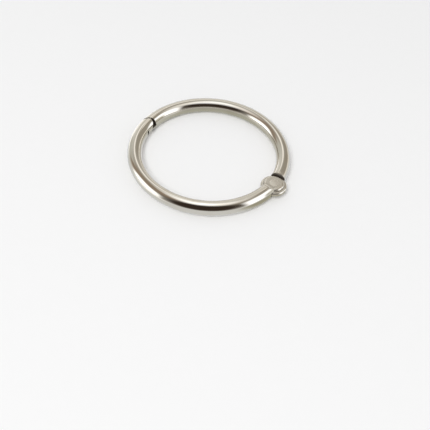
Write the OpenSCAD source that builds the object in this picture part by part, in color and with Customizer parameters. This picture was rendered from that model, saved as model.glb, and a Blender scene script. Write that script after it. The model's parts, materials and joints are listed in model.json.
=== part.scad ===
// Hinged loose-leaf ring: two half rings of round steel wire.
// They turn on a rivet at +X and snap together at -X. The closed ring lies
// flat, with its middle plane at z = 0 and its centre at the origin.

/* [Ring] */
// Inside diameter of the closed ring
inside_d = 25.4; // [20:0.1:60]
// Diameter of the round wire
wire_d = 2.7; // [2.6:0.1:3.2]

/* [Slots] */
// Width of the sawn slots at the hinge and at the closure
slot_w = 0.9; // [0.85:0.05:1.1]

/* [Hinge] */
// Diameter of the flattened eye on the tongued half
eye_d = 4.9; // [4.8:0.1:5.4]
// Thickness of the flattened eye
eye_t = 0.8; // [0.6:0.05:0.8]
// Length of the straight lead between each arc and the rivet
lead_l = 2.4; // [2.3:0.1:3.4]
// Diameter of the rivet
rivet_d = 1.2; // [1:0.1:1.3]
// Diameter of the rivet's countersunk, slightly domed heads
rivet_head_d = 1.7; // [1.5:0.1:1.8]
// Diameter of the knuckle pressed on the forked end
knuckle_d = 3.8; // [2.9:0.1:3.8]
// Depth pressed off the wire above and below the knuckle
cheek_flat = 0.5; // [0.3:0.05:0.5]
// Radius at which that flat runs out into the round wire
cheek_run_out = 2; // [1.6:0.1:2.4]

/* [Closure] */
// Depth of the closure slot along the wire
closure_slot_l = 3.1; // [2.8:0.05:4]
// Length of the tongue
tongue_l = 2.55; // [2:0.05:2.65]
// Thickness of the tongue
tongue_t = 0.8; // [0.6:0.05:0.8]
// Gap at the closed seam
seam_gap = 0.28; // [0.1:0.02:0.3]
// Slant of the seam across the outer side of the wire, in degrees
seam_slant = 32; // [20:2:40]
// Distance that the shoulder stands back on the inner side of the seam
shoulder_back = 0.18; // [0:0.02:0.3]
// Radius on the inner corner of the prongs
prong_corner_r = 1.1; // [0.6:0.1:1.3]
// Depth pressed off the outer side of the prongs
outer_relief = 0.35; // [0.2:0.01:0.4]
// Arc over which that relief runs out, in degrees
relief_arc = 25; // [18:1:30]

/* [Hidden] */
$fn = 96;

wire_r = wire_d / 2;
ring_r = (inside_d + wire_d) / 2;
inner_r = ring_r - wire_r;
outer_r = ring_r + wire_r;
// Both leads leave their arcs on a tangent and meet at the rivet.
lead_angle = atan(lead_l / ring_r);
arc_angle = 180 - lead_angle;
// Space round the eye in its slot, and between the rivet and the eye.
eye_space = 0.15;
rivet_play = 0.05;
// The shoulders beside the eye stand this far clear of the knuckle.
shoulder_space = 0.25;
knuckle_r = knuckle_d / 2;
knuckle_edge_r = 0.4;
// Half height of the pressed cheeks. Their flat stops short of the knuckle's edge.
cheek_z = wire_r - cheek_flat;
cheek_margin = 1;
head_depth = (rivet_head_d - rivet_d) / 2;
// Rise of each rivet head over its cheek, and the radius of that dome.
dome_h = 0.05;
dome_r = 8;
// The seam's slant starts this far inside the wire's middle line. The shoulder's
// stands back with its face, and a cut reaches this many degrees past a face.
knee_in = 0.25;
shoulder_knee_in = knee_in + shoulder_back / tan(seam_slant);
seam_reach = 10;
seam_angle = degrees_of(seam_gap);
shoulder_angle = seam_angle / 2 + degrees_of(shoulder_back);
slot_angle = degrees_of(closure_slot_l);
tongue_angle = degrees_of(tongue_l);
// The tongue's root reaches this far into its own half, and the notch in its inner
// edge beside the shoulder goes down to this height.
root_angle = shoulder_angle + degrees_of(0.4);
notch_floor = -0.15;
// Bead on each face of the tongue, which the prongs grip: its rise, the radius
// of its dome, how deep that dome starts and its place along the tongue.
bead_h = (slot_w - tongue_t) / 2 - 0.02;
bead_r = 1;
bead_root = 0.1;
bead_angle = 0.55 * tongue_angle;
over = 1;

function degrees_of(length) = length / ring_r * 180 / PI;
function on_circle(radius, angle) = radius * [cos(angle), sin(angle)];

// Each half is drawn in one frame, where its arc starts on +X and its lead
// runs down to the rivet. These place the tongued half and the slotted half.
module far_half() {
    rotate([0, 0, lead_angle])
        children();
}

module near_half() {
    mirror([0, 1, 0])
        far_half()
            children();
}

module at_rivet() {
    translate([ring_r, -lead_l, 0])
        children();
}

module both_faces() {
    children();
    mirror([0, 0, 1])
        children();
}

module arc_of(start_angle, end_angle) {
    rotate_extrude(angle = end_angle - start_angle, start = start_angle)
        children();
}

module wire_arc(start_angle, end_angle) {
    arc_of(start_angle, end_angle)
        translate([ring_r, 0])
            circle(r = wire_r);
}

// Flat slice along the wire's path, wider than the wire.
module slice_arc(start_angle, end_angle, thickness) {
    arc_of(start_angle, end_angle)
        translate([ring_r, 0])
            square([wire_d + 2 * over, thickness], center = true);
}

// Straight wire from the start of the arc towards the rivet.
module lead(length) {
    translate([ring_r, 0, 0])
        rotate([90, 0, 0])
            cylinder(r = wire_r, h = length);
}

// Extrudes a plan shape through the whole height of the wire.
module through() {
    linear_extrude(height = wire_d + 2 * over, center = true)
        children();
}

// Punch that presses the top of the fork flat, with a round run-out.
module cheek_press() {
    flat_end = knuckle_r - cheek_margin;
    at_rivet()
        rotate([90, 0, 90])
            linear_extrude(height = wire_d + 2 * over, center = true) {
                translate([-wire_r - over, cheek_z])
                    square([flat_end + wire_r + over, cheek_flat + over]);
                translate([flat_end, cheek_z + cheek_run_out])
                    circle(r = cheek_run_out);
            }
}

// Everything outside a shifted circle, which cuts deepest at the seam.
module outer_relief_cut() {
    shift = outer_relief / sin(relief_arc);
    through()
        difference() {
            polygon([
                [0, 0],
                on_circle(outer_r + over, arc_angle - relief_arc - 1),
                on_circle(outer_r + 4 * over, arc_angle - relief_arc / 2),
                on_circle(outer_r + over, arc_angle + tongue_angle)
            ]);
            translate(on_circle(shift, arc_angle - relief_arc - 90))
                circle(r = outer_r);
        }
}

// Everything past the face at the end of an arc. The face is square to the wire on
// the inner side, and from the knee outwards it leans by that slant.
module end_cut(end_angle, knee_r, slant) {
    knee = on_circle(knee_r, end_angle);
    length = (outer_r + over - knee_r) / cos(slant);
    through()
        polygon([
            on_circle(inner_r - over, end_angle),
            knee,
            knee + on_circle(length, end_angle + slant),
            on_circle(outer_r + over, end_angle + seam_reach),
            on_circle(inner_r - over, end_angle + seam_reach)
        ]);
}

// Inner corner of the prongs, outside its fillet.
module prong_corner_cut() {
    seam = arc_angle - seam_angle / 2;
    centre_r = inner_r + prong_corner_r;
    swing = asin(prong_corner_r / centre_r);
    past = on_circle(over, seam + 90);
    through()
        difference() {
            polygon([
                on_circle(inner_r - over, seam) + past,
                on_circle(centre_r * cos(swing), seam) + past,
                on_circle(centre_r * cos(swing), seam),
                on_circle(centre_r, seam - swing),
                on_circle(inner_r - over, seam - swing)
            ]);
            translate(on_circle(centre_r, seam - swing))
                circle(r = prong_corner_r);
        }
}

// Flat disc with rounded edges, which carries the rivet.
module knuckle() {
    edge_x = knuckle_r - knuckle_edge_r;
    edge_z = cheek_z - knuckle_edge_r;
    at_rivet() {
        cylinder(r = edge_x, h = 2 * cheek_z, center = true);
        cylinder(r = knuckle_r, h = 2 * edge_z, center = true);
        both_faces()
            rotate_extrude()
                translate([edge_x, edge_z])
                    circle(r = knuckle_edge_r);
    }
}

// Shank and the cone under each head, as far as the faces of the cheeks.
module rivet_shank() {
    cylinder(d = rivet_d, h = 2 * cheek_z, center = true);
    both_faces()
        translate([0, 0, cheek_z - head_depth])
            cylinder(d1 = rivet_d, d2 = rivet_head_d, h = head_depth);
}

module rivet_dome() {
    translate([0, 0, cheek_z])
        intersection() {
            cylinder(d = rivet_head_d, h = 2 * dome_h);
            translate([0, 0, dome_h - dome_r])
                sphere(r = dome_r);
        }
}

module fork_cuts() {
    at_rivet()
        cylinder(d = eye_d + 2 * eye_space, h = slot_w, center = true);
    at_rivet() {
        rivet_shank();
        both_faces()
            translate([0, 0, cheek_z])
                cylinder(d = rivet_head_d, h = over);
    }
}

module prong_cuts() {
    slice_arc(arc_angle - slot_angle, arc_angle + seam_angle, slot_w);
    outer_relief_cut();
    end_cut(arc_angle - seam_angle / 2, ring_r - knee_in, -seam_slant);
    prong_corner_cut();
}

module slotted_half() {
    color("silver")
        near_half()
            difference() {
                union() {
                    wire_arc(0, arc_angle - seam_angle / 2);
                    difference() {
                        lead(lead_l);
                        both_faces()
                            cheek_press();
                    }
                    knuckle();
                }
                fork_cuts();
                prong_cuts();
            }
}

// Disc with a bulging rim, as a wire end has once it is pressed flat.
module eye() {
    at_rivet()
        difference() {
            union() {
                cylinder(d = eye_d - eye_t, h = eye_t, center = true);
                rotate_extrude()
                    translate([(eye_d - eye_t) / 2, 0])
                        circle(d = eye_t);
            }
            cylinder(d = rivet_d + 2 * rivet_play, h = wire_d, center = true);
        }
}

// Turns a cut made for the prongs round to the tongue that lies in them.
module mirror_at_seam() {
    rotate([0, 0, 2 * arc_angle])
        mirror([0, 1, 0])
            children();
}

module tongue_bead() {
    rotate([0, 0, arc_angle + bead_angle])
        translate([ring_r, 0, tongue_t / 2 + bead_h - bead_r])
            intersection() {
                sphere(r = bead_r);
                translate([0, 0, bead_r])
                    cube([2 * bead_r, 2 * bead_r, 2 * (bead_h + bead_root)], center = true);
            }
}

// Takes the upper inner edge off the tongue's root, where the prongs' corner is rounded.
module root_notch() {
    translate([0, 0, notch_floor + wire_r + over])
        mirror_at_seam()
            prong_corner_cut();
}

module tongue() {
    difference() {
        intersection() {
            wire_arc(arc_angle - root_angle, arc_angle + tongue_angle);
            slice_arc(arc_angle - 2 * root_angle, arc_angle + 2 * tongue_angle, tongue_t);
        }
        mirror_at_seam()
            outer_relief_cut();
        root_notch();
    }
    both_faces()
        tongue_bead();
}

module tongued_half() {
    color("silver")
        far_half() {
            difference() {
                wire_arc(0, arc_angle + seam_reach / 2);
                end_cut(arc_angle - shoulder_angle, ring_r - shoulder_knee_in, seam_slant);
            }
            lead(lead_l - knuckle_r - shoulder_space);
            eye();
            tongue();
        }
}

module hinge_rivet() {
    color("gainsboro")
        near_half()
            at_rivet() {
                rivet_shank();
                both_faces()
                    rivet_dome();
            }
}

slotted_half();
tongued_half();
hinge_rivet();
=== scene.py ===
import json
import math
from collections import namedtuple

import bpy
from mathutils import Matrix, Vector


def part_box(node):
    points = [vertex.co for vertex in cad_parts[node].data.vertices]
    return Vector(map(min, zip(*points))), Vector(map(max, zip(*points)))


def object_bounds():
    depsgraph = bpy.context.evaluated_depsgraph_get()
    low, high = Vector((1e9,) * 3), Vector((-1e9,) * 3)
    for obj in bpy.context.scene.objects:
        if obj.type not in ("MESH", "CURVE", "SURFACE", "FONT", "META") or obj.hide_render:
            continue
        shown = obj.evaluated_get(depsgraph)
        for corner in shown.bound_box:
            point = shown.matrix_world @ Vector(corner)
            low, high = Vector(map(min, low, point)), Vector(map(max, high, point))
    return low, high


# ---------------------------------------------------------------- the frame

MM = 0.001

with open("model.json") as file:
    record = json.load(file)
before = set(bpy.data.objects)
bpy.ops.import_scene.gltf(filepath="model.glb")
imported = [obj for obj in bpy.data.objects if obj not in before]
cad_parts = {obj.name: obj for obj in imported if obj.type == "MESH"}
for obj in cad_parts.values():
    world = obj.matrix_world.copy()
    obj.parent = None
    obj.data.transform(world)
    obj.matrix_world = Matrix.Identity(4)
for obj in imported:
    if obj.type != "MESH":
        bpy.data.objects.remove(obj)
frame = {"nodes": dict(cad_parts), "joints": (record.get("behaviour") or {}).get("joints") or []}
cad_low, cad_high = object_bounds()

# The ring's own sizes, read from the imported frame.
OUTER_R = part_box("tongued_half")[1].y
WIRE_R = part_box("tongued_half")[1].z
RING_R = OUTER_R - WIRE_R
HINGE_X = frame["joints"][0]["pos_m"][0]

# ------------------------------------------------------------ the photograph

PHOTO_PX = 430
LENS_MM = 60
SENSOR_MM = 36
RING_CENTRE_PX = (209.20, 152.98)
# Distance from the camera to the ring's centre along the lens's axis, in radii of the ring.
CAMERA_DISTANCE = 9.6506
LOOK_DOWN_DEG = 48.491
CAMERA_ROLL_DEG = 4.822
# The direction that the photograph looks in, counterclockwise from +Y.
CAMERA_TURN_DEG = 30.4
# The camera sees nothing nearer or farther than this.
CAMERA_REACH = (1 * MM, 10)


def photo_camera():
    """The camera that sees the ring as the photograph does."""
    look_down = math.radians(LOOK_DOWN_DEG)
    roll = math.radians(CAMERA_ROLL_DEG)
    forward = Vector((0, math.cos(look_down), -math.sin(look_down)))
    level_right = Vector((1, 0, 0))
    level_down = Vector((0, -math.sin(look_down), -math.cos(look_down)))
    right = math.cos(roll) * level_right - math.sin(roll) * level_down
    down = math.cos(roll) * level_down + math.sin(roll) * level_right

    focal_px = LENS_MM / SENSOR_MM * PHOTO_PX
    depth = CAMERA_DISTANCE * RING_R
    across = (RING_CENTRE_PX[0] - PHOTO_PX / 2) / focal_px * depth
    below = (RING_CENTRE_PX[1] - PHOTO_PX / 2) / focal_px * depth
    place = -(across * right + below * down + depth * forward)

    columns = Matrix((right, -down, -forward)).transposed().to_4x4()
    turn = Matrix.Rotation(math.radians(CAMERA_TURN_DEG), 4, "Z")
    lens = bpy.data.cameras.new("photo_camera")
    lens.lens = LENS_MM
    lens.sensor_width = SENSOR_MM
    lens.clip_start, lens.clip_end = CAMERA_REACH
    camera = bpy.data.objects.new("photo_camera", lens)
    camera.matrix_world = turn @ Matrix.Translation(place) @ columns
    bpy.context.scene.collection.objects.link(camera)
    bpy.context.scene.camera = camera


# ------------------------------------------------------------- node building

# Places of the share and the two colours among a Mix node's inputs, and of the colour it gives out.
MIX_INPUTS = (0, 6, 7)
MIX_COLOUR = 2


class Tree:
    """Short calls for building one node tree."""

    def __init__(self, owner):
        owner.use_nodes = True
        self.nodes = owner.node_tree.nodes
        self.links = owner.node_tree.links
        self.nodes.clear()

    def set(self, socket, value):
        """Gives a socket a link or a plain value."""
        if isinstance(value, bpy.types.NodeSocket):
            self.links.new(value, socket)
        else:
            socket.default_value = value

    def add(self, kind, settings=None, **inputs):
        """A node of that kind, with its settings and its named inputs."""
        node = self.nodes.new(kind)
        for name, value in (settings or {}).items():
            setattr(node, name, value)
        for name, value in inputs.items():
            self.set(node.inputs[name.replace("_", " ")], value)
        return node

    def math(self, operation, *values):
        node = self.add("ShaderNodeMath", {"operation": operation})
        for socket, value in zip(node.inputs, values):
            self.set(socket, value)
        return node.outputs[0]

    def step(self, value, low, high, at_low=0.0, at_high=1.0):
        """A smooth step from at_low to at_high as value goes from low to high."""
        return self.add(
            "ShaderNodeMapRange", {"interpolation_type": "SMOOTHSTEP"},
            Value=value, From_Min=low, From_Max=high, To_Min=at_low, To_Max=at_high,
        ).outputs["Result"]

    def mix(self, share, first, second):
        """A colour between first and second."""
        node = self.add("ShaderNodeMix", {"data_type": "RGBA"})
        for place, value in zip(MIX_INPUTS, (share, first, second)):
            self.set(node.inputs[place], value)
        return node.outputs[MIX_COLOUR]

    def blend(self, share, first, second):
        """A shader between first and second."""
        node = self.add("ShaderNodeMixShader", Fac=share)
        self.set(node.inputs[1], first)
        self.set(node.inputs[2], second)
        return node.outputs[0]

    def split(self, vector):
        return self.add("ShaderNodeSeparateXYZ", Vector=vector).outputs

    def join(self, x, y, z):
        node = self.add("ShaderNodeCombineXYZ")
        for socket, value in zip(node.inputs, (x, y, z)):
            self.set(socket, value)
        return node.outputs[0]

    def noise(self, vector, detail=2.0):
        """Noise whose grains are one unit of vector across."""
        return self.add("ShaderNodeTexNoise", Vector=vector, Scale=1.0, Detail=detail).outputs["Fac"]

    def bump(self, height, rise, normal=None):
        """A normal for a height from 0 to 1 that stands up by rise, in metres."""
        node = self.add("ShaderNodeBump", Height=height, Distance=rise)
        if normal is not None:
            self.set(node.inputs["Normal"], normal)
        return node.outputs["Normal"]


def grey(level):
    return (level, level, level, 1)


# ------------------------------------------------------------------ materials

NICKEL = (0.665, 0.612, 0.525, 1)
NICKEL_TARNISHED = (0.58, 0.51, 0.41, 1)
SAWN_STEEL = (0.17, 0.145, 0.11, 1)
# Painted shade: a near-black colour laid into the gaps between parts.
GAP_PAINTED_SHADE = (0.05, 0.038, 0.028, 1)
# Each NOISE pair gives the values of a noise between which a change takes place.
TARNISH_NOISE = (0.45, 0.75)
TARNISH_SHARE = 0.45

# Inside this distance from the hinge the wire is pressed flat, and plated all over.
PRESSED_R = 3.2 * MM
# The knuckle and the eye lie inside this distance. The press left them satin.
SATIN_R = 2.5 * MM
HINGE_FADE = 0.6 * MM
# Cosine of the angle between a face and the way out of the wire. Below the first one the face was
# cut, and above the second it is the wire's own.
SAWN_FACING = (0.8, 0.92)
# How far round a point a gap is looked for, for its painted shade, and the shares of light deep in it
# and at its edge.
GAP_SHADE_REACH = 0.8 * MM
GAP_SHADE_LIGHT = (0.4, 0.9)
GAP_SHADE_RAYS = 8

# Length along the wire and width across it of the grains in the plate.
DRAWN_GRAIN = (5 * MM, 0.06 * MM)
WAVE_GRAIN = (3.5 * MM, 0.9 * MM)
CLOUD_GRAIN = (3 * MM, 1.2 * MM)
SPECK_GRAIN = (0.12 * MM, 0.12 * MM)
# Heights of the drawing lines and of the waves in the wire.
DRAWN_RISE = 0.0006 * MM
WAVE_RISE = 0.008 * MM
# Radius of the wire's cut and pressed edges.
EDGE_R = 0.07 * MM
EDGE_RAYS = 6

# Roughness of the drawn wire from line to line, and what specks, the saw and the press add to it.
DRAWN_ROUGHNESS = (0.04, 0.09)
DRAWN_NOISE = (0.3, 0.7)
SPECK_ROUGHNESS = 0.04
SPECK_NOISE = (0.55, 0.75)
SAWN_ROUGHNESS = 0.3
SATIN_ROUGHNESS = 0.1
# How metallic the satin is, and a cut or a gap's painted shade. The rest of their light is scattered.
SATIN_METALLIC = 0.85
DULL_AND_SHADED_METALLIC = 0.4

# The rivet's head has dimples and the fine rings of a turned face.
DIMPLE_GRAIN = 0.3 * MM
DIMPLE_RISE = 0.0012 * MM
DIMPLE_ROUGHNESS = (0.3, 0.38)
DIMPLE_NOISE = (0.3, 0.7)
DIMPLE_TARNISH_NOISE = (0.4, 0.8)
RING_PITCH = 0.14 * MM
RING_RISE = 0.0001 * MM


def length_of(tree, *parts):
    """The length of a vector with these parts."""
    total = tree.math("MULTIPLY", parts[0], parts[0])
    for part in parts[1:]:
        total = tree.math("MULTIPLY_ADD", part, part, total)
    return tree.math("SQRT", total)


def from_hinge(tree, x, y):
    """Distance from the hinge's axis."""
    return length_of(tree, tree.math("SUBTRACT", x, HINGE_X), y)


def wire_coordinates(tree):
    """Arc length along the ring, distance outside the wire's middle line, and height, in metres."""
    x, y, z = tree.split(tree.add("ShaderNodeTexCoord").outputs["Object"])
    along = tree.math("MULTIPLY", tree.math("ARCTAN2", y, x), RING_R)
    outside = tree.math("SUBTRACT", length_of(tree, x, y), RING_R)
    return along, outside, z


def stretched(tree, place, grain):
    """Coordinates for a texture with grains of this length along the wire and this width."""
    along, outside, height = place
    length, width = grain
    return tree.join(
        tree.math("DIVIDE", along, length),
        tree.math("DIVIDE", outside, width),
        tree.math("DIVIDE", height, width),
    )


def even_grains(tree, place, size):
    """Coordinates for a texture whose grains have one size in every direction."""
    return tree.join(*(tree.math("DIVIDE", part, size) for part in place))


def hinge_share(tree, radius):
    """1 inside this distance from the hinge's axis, and 0 outside it."""
    x, y, _ = tree.split(tree.add("ShaderNodeTexCoord").outputs["Object"])
    return tree.step(from_hinge(tree, x, y), radius, radius + HINGE_FADE, 1.0, 0.0)


def sawn_share(tree, place):
    """1 on the faces that were sawn or trimmed at the closure, which don't look away from the
    wire's middle line, and 0 on drawn and pressed wire."""
    coordinates = tree.add("ShaderNodeTexCoord").outputs
    x, y, _ = tree.split(coordinates["Object"])
    _, outside, height = place
    reach = length_of(tree, x, y)
    away = tree.join(
        tree.math("DIVIDE", tree.math("MULTIPLY", x, outside), reach),
        tree.math("DIVIDE", tree.math("MULTIPLY", y, outside), reach),
        height,
    )
    away = tree.add("ShaderNodeVectorMath", {"operation": "NORMALIZE"}, Vector=away).outputs[0]
    facing = tree.add("ShaderNodeVectorMath", {"operation": "DOT_PRODUCT"})
    tree.set(facing.inputs[0], away)
    tree.set(facing.inputs[1], coordinates["Normal"])
    sawn = tree.step(facing.outputs["Value"], *SAWN_FACING, 1.0, 0.0)
    return tree.math("MULTIPLY", sawn, tree.math("SUBTRACT", 1.0, hinge_share(tree, PRESSED_R)))


def gap_shade_share(tree, height):
    """Painted shade: 1 deep in a gap, where shade falls, and 0 in the open. The gap between the wire
    and the floor isn't counted.
    """
    shade = tree.add("ShaderNodeAmbientOcclusion", {"samples": GAP_SHADE_RAYS}, Distance=GAP_SHADE_REACH)
    gap = tree.step(shade.outputs["AO"], *GAP_SHADE_LIGHT, 1.0, 0.0)
    off_floor = tree.step(height, GAP_SHADE_REACH / 2 - WIRE_R, GAP_SHADE_REACH - WIRE_R)
    return tree.math("MULTIPLY", gap, off_floor)


def nickel_material(name):
    """Bright nickel plate on drawn wire, satin where it was pressed and darker and rougher where it was
    sawn, with painted shade in the gaps between parts.
    """
    material = bpy.data.materials.new(name)
    tree = Tree(material)
    place = wire_coordinates(tree)

    drawn = tree.noise(stretched(tree, place, DRAWN_GRAIN), detail=3.0)
    waves = tree.noise(stretched(tree, place, WAVE_GRAIN), detail=1.0)
    clouds = tree.noise(stretched(tree, place, CLOUD_GRAIN), detail=3.0)
    specks = tree.noise(stretched(tree, place, SPECK_GRAIN))
    sawn = sawn_share(tree, place)
    satin = hinge_share(tree, SATIN_R)
    # Painted shade in the gaps between parts.
    gap_shade = gap_shade_share(tree, place[2])

    tarnish = tree.math("MULTIPLY", tree.step(clouds, *TARNISH_NOISE), TARNISH_SHARE)
    colour = tree.mix(tarnish, NICKEL, NICKEL_TARNISHED)
    colour = tree.mix(sawn, colour, SAWN_STEEL)
    # Painted shade: the gaps darken to near black.
    colour = tree.mix(gap_shade, colour, GAP_PAINTED_SHADE)

    lines = tree.step(drawn, *DRAWN_NOISE, *DRAWN_ROUGHNESS)
    roughness = tree.math("ADD", lines, tree.step(specks, *SPECK_NOISE, 0.0, SPECK_ROUGHNESS))
    roughness = tree.math("MULTIPLY_ADD", sawn, SAWN_ROUGHNESS, roughness)
    roughness = tree.math("MULTIPLY_ADD", satin, SATIN_ROUGHNESS, roughness)

    edge_round = tree.add("ShaderNodeBevel", {"samples": EDGE_RAYS}, Radius=EDGE_R).outputs["Normal"]
    normal = tree.bump(waves, WAVE_RISE, edge_round)
    normal = tree.bump(drawn, DRAWN_RISE, normal)

    # The painted shade in gaps also makes the surface less metallic, as a cut does.
    dull_and_shaded = tree.math("MAXIMUM", sawn, gap_shade)
    metallic = tree.math("MULTIPLY_ADD", satin, SATIN_METALLIC - 1, 1.0)
    metallic = tree.math("MULTIPLY_ADD", dull_and_shaded, DULL_AND_SHADED_METALLIC - 1, metallic)
    surface = tree.add(
        "ShaderNodeBsdfPrincipled",
        Base_Color=colour, Metallic=metallic, Roughness=roughness, Normal=normal,
    )
    tree.add("ShaderNodeOutputMaterial", Surface=surface.outputs[0])
    return material


def rivet_material(name):
    """Nickel on a rivet head that was pressed flush: faint dimples, fine rings and a satin gloss."""
    material = bpy.data.materials.new(name)
    tree = Tree(material)
    x, y, z = tree.split(tree.add("ShaderNodeTexCoord").outputs["Object"])
    dimples = tree.noise(even_grains(tree, (x, y, z), DIMPLE_GRAIN))
    rings = tree.math("SINE", tree.math("MULTIPLY", from_hinge(tree, x, y), 2 * math.pi / RING_PITCH))

    colour = tree.mix(tree.step(dimples, *DIMPLE_TARNISH_NOISE), NICKEL, NICKEL_TARNISHED)
    roughness = tree.step(dimples, *DIMPLE_NOISE, *DIMPLE_ROUGHNESS)
    normal = tree.bump(dimples, DIMPLE_RISE)
    normal = tree.bump(rings, RING_RISE, normal)
    surface = tree.add(
        "ShaderNodeBsdfPrincipled",
        Base_Color=colour, Metallic=SATIN_METALLIC, Roughness=roughness, Normal=normal,
    )
    tree.add("ShaderNodeOutputMaterial", Surface=surface.outputs[0])
    return material


def dress(node_name, material):
    """Gives a CAD node one material in place of its own."""
    mesh = frame["nodes"][node_name].data
    mesh.materials.clear()
    mesh.materials.append(material)


# --------------------------------------------------------------------- studio

# What a polished surface shows of the studio, zone by zone, later ones in front. A zone's azimuth
# is counted clockwise from the direction that the photograph looks in. Its angles are in degrees.
# Its softness is how far its edge fades to either side, as a share of its half size.
Zone = namedtuple("Zone", "azimuth elevation half_width half_height softness colour")
STUDIO_ZONES = {
    "left_wall": Zone(-52, 5, 16, 50, 0.5, (0.66, 0.68, 0.66)),
    "left_post": Zone(-66, 34, 10, 22, 0.5, (0.36, 0.30, 0.25)),
    "left_top": Zone(-80, 57, 48, 19, 0.35, (0.37, 0.31, 0.26)),
    "right_wall": Zone(73, 50, 66, 40, 0.2, (0.42, 0.40, 0.36)),
    "right_low": Zone(56, 2, 18, 9, 0.5, (1.05, 1.03, 1.0)),
    "back_light": Zone(-8, 45, 9, 6, 0.5, (1.3, 1.3, 1.3)),
    "high_light": Zone(17, 51, 9, 4, 0.4, (1.1, 1.08, 1.05)),
    "back_window": Zone(-29, -12, 9, 20, 0.4, (1.7, 1.75, 1.85)),
    "camera_side": Zone(181, 45, 60, 46, 0.4, (0.045, 0.033, 0.026)),
    "left_window": Zone(-99, 2, 23, 33, 0.3, (2.0, 2.1, 2.25)),
    "right_window": Zone(98, 10, 29, 45, 0.2, (1.75, 1.85, 2.05)),
    "right_post": Zone(92, -3, 10, 27, 0.35, (0.62, 0.62, 0.56)),
}
WALL = (0.92, 0.93, 0.93, 1)
WALL_TOP = (0.59, 0.61, 0.61, 1)
# Elevations, in degrees, between which the wall darkens towards its top.
WALL_FADE = (15, 52)
# 2 makes the zones oval, and more makes them squarer.
ZONE_CORNER = 3.2

# A white disc above the ring, brightest in the middle, that only polished surfaces see. Its place
# is to the right of the ring's centre, beyond it and above it, as the photograph looks.
SOFTBOX_R = 37 * MM
SOFTBOX_PLACE = (-1 * MM, 3 * MM, 60 * MM)
SOFTBOX_LEVEL = 1.7
SOFTBOX_COLOUR = (0.94, 1.0, 1.1)

# Light on the floor from all round, and from the lamp over the camera. Together they are about 1.
DAYLIGHT = 0.55
KEY_LEVEL = 0.46
KEY_R = 0.25
KEY_AZIMUTH_DEG = 200
KEY_ELEVATION_DEG = 55
KEY_DISTANCE = 0.9

FLOOR_R = 0.6
FLOOR_SIDES = 96
FLOOR_WHITE = 0.94
# Size of the paper's fibres, and how much darker they make it.
FIBRE_GRAIN = 2 * MM
FIBRE_SHADE = 0.01
# Painted light and shade that the metal shows of the floor, which glows in these colours: outside the
# ring, and inside it on the camera's side and on the far side, with the distances beyond the ring's
# centre between which they change.
PAINTED_FLOOR_OUTSIDE = (0.82, 0.865, 0.92, 1)
PAINTED_FLOOR_NEAR = (0.97, 1.0, 1.07, 1)
PAINTED_FLOOR_FAR = (0.53, 0.55, 0.50, 1)
FLOOR_INSIDE_FADE = (-3 * MM, 12 * MM)
# The smooth top of the paper: its refraction index and the roughness of its shine.
FLOOR_IOR = 1.5
FLOOR_SHINE = 0.3
# Round patches of painted light and shade outside the ring. A patch's place is to the right of the
# ring's centre and beyond it, and it fades out between two distances from there.
Patch = namedtuple("Patch", "place fade colour")
PAINTED_FLOOR_PATCHES = {
    "left_glow": Patch((-24 * MM, 15 * MM), (5 * MM, 14 * MM), (1.75, 1.8, 1.85, 1)),
    "front_glow": Patch((-26 * MM, -17 * MM), (5 * MM, 14 * MM), (1.75, 1.8, 1.85, 1)),
    "hinge_shade": Patch((15 * MM, -13 * MM), (4 * MM, 9 * MM), (0.47, 0.47, 0.39, 1)),
}


def zone_share(tree, direction, elevation, zone):
    """1 inside a zone of the studio and 0 outside it, with a soft edge."""
    turned = tree.add(
        "ShaderNodeVectorRotate", {"rotation_type": "Z_AXIS"},
        Vector=direction, Angle=math.radians(zone.azimuth - CAMERA_TURN_DEG),
    ).outputs[0]
    x, y, _ = tree.split(turned)
    across = tree.math("DIVIDE", tree.math("ARCTAN2", x, y), math.radians(zone.half_width))
    up = tree.math("SUBTRACT", elevation, math.radians(zone.elevation))
    up = tree.math("DIVIDE", up, math.radians(zone.half_height))
    powers = [tree.math("POWER", tree.math("ABSOLUTE", part), ZONE_CORNER) for part in (across, up)]
    reach = tree.math("POWER", tree.math("ADD", *powers), 1 / ZONE_CORNER)
    return tree.step(reach, 1 - zone.softness, 1 + zone.softness, 1.0, 0.0)


def studio_world():
    """White for the camera, one even level of soft light, and a studio for polished surfaces."""
    world = bpy.data.worlds.new("studio")
    bpy.context.scene.world = world
    tree = Tree(world)
    direction = tree.add("ShaderNodeTexCoord").outputs["Generated"]
    elevation = tree.math("ARCSINE", tree.split(direction)[2])
    bottom, top = (math.radians(angle) for angle in WALL_FADE)
    shown = tree.mix(tree.step(elevation, bottom, top), WALL, WALL_TOP)
    for zone in STUDIO_ZONES.values():
        shown = tree.mix(zone_share(tree, direction, elevation, zone), shown, (*zone.colour, 1))

    path = tree.add("ShaderNodeLightPath").outputs
    seen = tree.mix(path["Is Glossy Ray"], grey(DAYLIGHT), shown)
    seen = tree.mix(path["Is Transmission Ray"], seen, grey(1))
    seen = tree.mix(path["Is Camera Ray"], seen, grey(1))
    sky = tree.add("ShaderNodeBackground", Color=seen, Strength=1.0)
    tree.add("ShaderNodeOutputWorld", Surface=sky.outputs[0])


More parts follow.
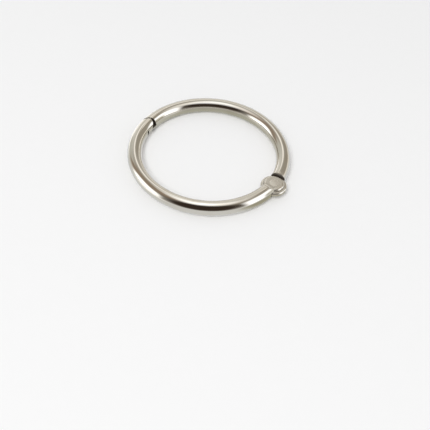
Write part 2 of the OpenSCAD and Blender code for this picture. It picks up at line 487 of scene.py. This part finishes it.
def floor_in_metal(tree, x, y):
    """What the metal shows of the floor: painted light and shade that glows, with the sheen of paper
    inside the ring.
    """
    turn = math.radians(CAMERA_TURN_DEG)
    across, away = (
        tree.math("MULTIPLY_ADD", x, share_x, tree.math("MULTIPLY", y, share_y))
        for share_x, share_y in ((math.cos(turn), math.sin(turn)), (-math.sin(turn), math.cos(turn)))
    )
    # Painted light and shade: pools of light and shade laid on the floor for the metal.
    outside = PAINTED_FLOOR_OUTSIDE
    for patch in PAINTED_FLOOR_PATCHES.values():
        off_place = (
            tree.math("SUBTRACT", part, middle) for part, middle in zip((across, away), patch.place)
        )
        outside = tree.mix(tree.step(length_of(tree, *off_place), *patch.fade), patch.colour, outside)
    inside = tree.mix(tree.step(away, *FLOOR_INSIDE_FADE), PAINTED_FLOOR_NEAR, PAINTED_FLOOR_FAR)
    ring = tree.step(length_of(tree, x, y), RING_R - WIRE_R, RING_R + WIRE_R)
    # Painted light and shade: the floor glows in these colours for the metal.
    lit = tree.add("ShaderNodeEmission", Color=tree.mix(ring, inside, outside), Strength=1.0).outputs[0]
    shine = tree.add("ShaderNodeBsdfAnisotropic", Color=grey(1), Roughness=FLOOR_SHINE).outputs[0]
    grazing = tree.add("ShaderNodeFresnel", IOR=FLOOR_IOR).outputs[0]
    return tree.blend(tree.math("MULTIPLY", grazing, tree.math("SUBTRACT", 1.0, ring)), lit, shine)


def floor_material():
    """Pale paper that takes the ring's shadow. The metal shows it without shadows, in painted light and
    shade, and it is clear from below."""
    material = bpy.data.materials.new("floor")
    tree = Tree(material)
    x, y, z = tree.split(tree.add("ShaderNodeTexCoord").outputs["Object"])
    fibres = tree.noise(even_grains(tree, (x, y, z), FIBRE_GRAIN), detail=4.0)
    colour = tree.mix(fibres, grey(FLOOR_WHITE), grey(FLOOR_WHITE - FIBRE_SHADE))
    paper = tree.add("ShaderNodeBsdfDiffuse", Color=colour).outputs[0]
    clear = tree.add("ShaderNodeBsdfTransparent").outputs[0]
    reflected = tree.add("ShaderNodeLightPath").outputs["Is Glossy Ray"]
    from_below = tree.add("ShaderNodeNewGeometry").outputs["Backfacing"]
    surface = tree.blend(from_below, tree.blend(reflected, paper, floor_in_metal(tree, x, y)), clear)
    tree.add("ShaderNodeOutputMaterial", Surface=surface)
    return material


def floor():
    """A pale disc that the ring lies on."""
    steps = [2 * math.pi * side / FLOOR_SIDES for side in range(FLOOR_SIDES)]
    corners = [(FLOOR_R * math.cos(turn), FLOOR_R * math.sin(turn), cad_low.z) for turn in steps]
    mesh = bpy.data.meshes.new("floor")
    mesh.from_pydata(corners, [], [list(range(FLOOR_SIDES))])
    mesh.materials.append(floor_material())
    disc = bpy.data.objects.new("floor", mesh)
    bpy.context.scene.collection.objects.link(disc)


def disc_lamp(name, radius, level, place):
    """A round lamp that faces the ring's centre and looks as bright as a surface of that level."""
    area = math.pi * radius ** 2
    lamp = bpy.data.lights.new(name, "AREA")
    lamp.shape = "DISK"
    lamp.size = 2 * radius
    lamp.energy = level * math.pi * area
    holder = bpy.data.objects.new(name, lamp)
    holder.location = place
    holder.rotation_euler = Vector(place).to_track_quat("Z", "Y").to_euler()
    holder.visible_camera = False
    bpy.context.scene.collection.objects.link(holder)
    return holder


def view_direction(azimuth_deg, elevation_deg):
    """The unit vector at that azimuth from the photograph's view and that elevation."""
    turn = math.radians(CAMERA_TURN_DEG - azimuth_deg)
    level = math.cos(math.radians(elevation_deg))
    height = math.sin(math.radians(elevation_deg))
    return Vector((-math.sin(turn) * level, math.cos(turn) * level, height))


def key_lamp():
    """A large soft lamp over the camera, which lights the floor and doesn't show in the metal."""
    toward = view_direction(KEY_AZIMUTH_DEG, KEY_ELEVATION_DEG)
    # A floor gets this share of the light that a whole sky as bright as the lamp would give it.
    share_of_sky = KEY_R ** 2 / KEY_DISTANCE ** 2 * toward.z
    lamp = disc_lamp("key", KEY_R, KEY_LEVEL / share_of_sky, toward * KEY_DISTANCE)
    lamp.visible_glossy = False


def softbox():
    """The soft white disc that makes the broad highlight along the top of the wire."""
    turn = Matrix.Rotation(math.radians(CAMERA_TURN_DEG), 3, "Z")
    lamp = disc_lamp("softbox", SOFTBOX_R, SOFTBOX_LEVEL, turn @ Vector(SOFTBOX_PLACE))
    level_with_floor = (0, 0, 0)
    lamp.rotation_euler = level_with_floor
    lamp.visible_diffuse = False
    lamp.visible_transmission = False
    lamp.data.color = SOFTBOX_COLOUR
    tree = Tree(lamp.data)
    # Places on the lamp run from 0 to 1 both ways. The light falls to nothing from middle to rim.
    middle = 0.5
    across, along, _ = tree.split(tree.add("ShaderNodeNewGeometry").outputs["Parametric"])
    off_middle = (tree.math("SUBTRACT", part, middle) for part in (across, along))
    strength = tree.math("MULTIPLY_ADD", length_of(tree, *off_middle), -1 / middle, 1.0)
    glow = tree.add("ShaderNodeEmission", Strength=tree.math("MAXIMUM", strength, 0.0))
    tree.add("ShaderNodeOutputLight", Surface=glow.outputs[0])


# ------------------------------------------------------------------- building

nickel = nickel_material("nickel_plate")
dress("slotted_half", nickel)
dress("tongued_half", nickel)
dress("hinge_rivet", rivet_material("rivet"))

photo_camera()
studio_world()
floor()
key_lamp()
softbox()
bpy.context.scene.view_settings.view_transform = "Standard"
